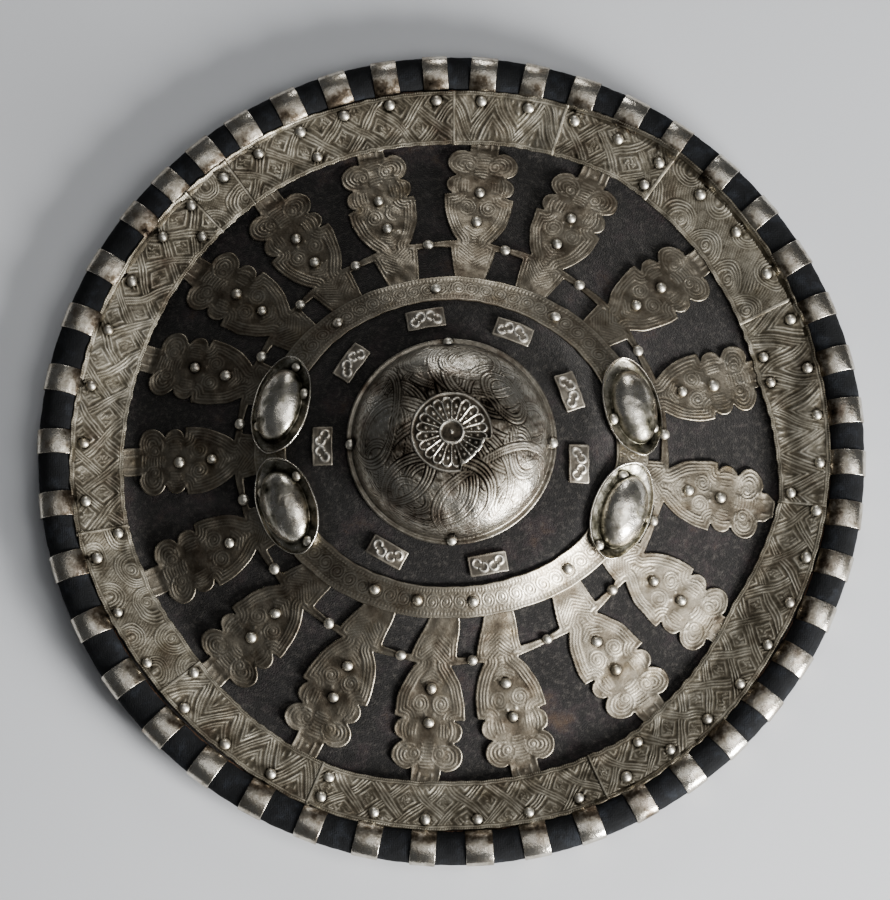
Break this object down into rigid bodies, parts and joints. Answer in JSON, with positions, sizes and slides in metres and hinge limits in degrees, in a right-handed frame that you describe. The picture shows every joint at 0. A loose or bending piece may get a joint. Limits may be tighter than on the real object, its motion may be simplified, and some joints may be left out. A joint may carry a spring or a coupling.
{
  "type": "cavalry shield",
  "caption": "Round domed cavalry shield of moulded hide with a dark velvet front, embossed white-metal mounts, a striped rolled rim and a leather hand grip behind.",
  "frame": {"origin": "centre of the shield's footprint, at the level of the flat ring it lies on", "axes": "+Z out of the front through the dome, +Y towards the top edge, +X to the right seen from the front"},
  "size_m": [0.4988, 0.4989, 0.0902],
  "materials": {
    "hide": "bare moulded hide, scraped and darkened by handling",
    "velvet": "worn dark velvet",
    "rim_cloth": "dark woven cloth rolled over the rim",
    "white_metal": "tarnished embossed silver-coloured sheet",
    "polished_metal": "smooth silver-coloured sheet, worn bright",
    "grip_leather": "dark waxed leather"
  },
  "bodies": {
    "root": {"hide_shell": "hide", "velvet_cover": "velvet", "rim_binding": "rim_cloth", "band_plate_01": "white_metal", "band_plate_02": "white_metal", "band_plate_03": "white_metal", "band_plate_04": "white_metal", "band_plate_05": "white_metal", "band_plate_06": "white_metal", "band_plate_07": "white_metal", "band_plate_08": "white_metal", "band_plate_09": "white_metal", "band_plate_10": "white_metal", "band_plate_11": "white_metal", "leaf_01": "white_metal", "leaf_02": "white_metal", "leaf_03": "white_metal", "leaf_04": "white_metal", "leaf_05": "white_metal", "leaf_06": "white_metal", "leaf_07": "white_metal", "leaf_08": "white_metal", "leaf_09": "white_metal", "leaf_10": "white_metal", "leaf_11": "white_metal", "leaf_12": "white_metal", "leaf_13": "white_metal", "leaf_14": "white_metal", "leaf_15": "white_metal", "leaf_16": "white_metal", "leaf_17": "white_metal", "inner_ring": "white_metal", "oval_boss_1": "polished_metal", "oval_boss_2": "polished_metal", "oval_boss_3": "polished_metal", "oval_boss_4": "polished_metal", "dome": "white_metal", "rosette": "white_metal", "plaque_1": "white_metal", "plaque_2": "white_metal", "plaque_3": "white_metal", "plaque_4": "white_metal", "plaque_5": "white_metal", "plaque_6": "white_metal", "plaque_7": "white_metal", "plaque_8": "white_metal", "grip_strap": "grip_leather"}
  },
  "joints": []
}
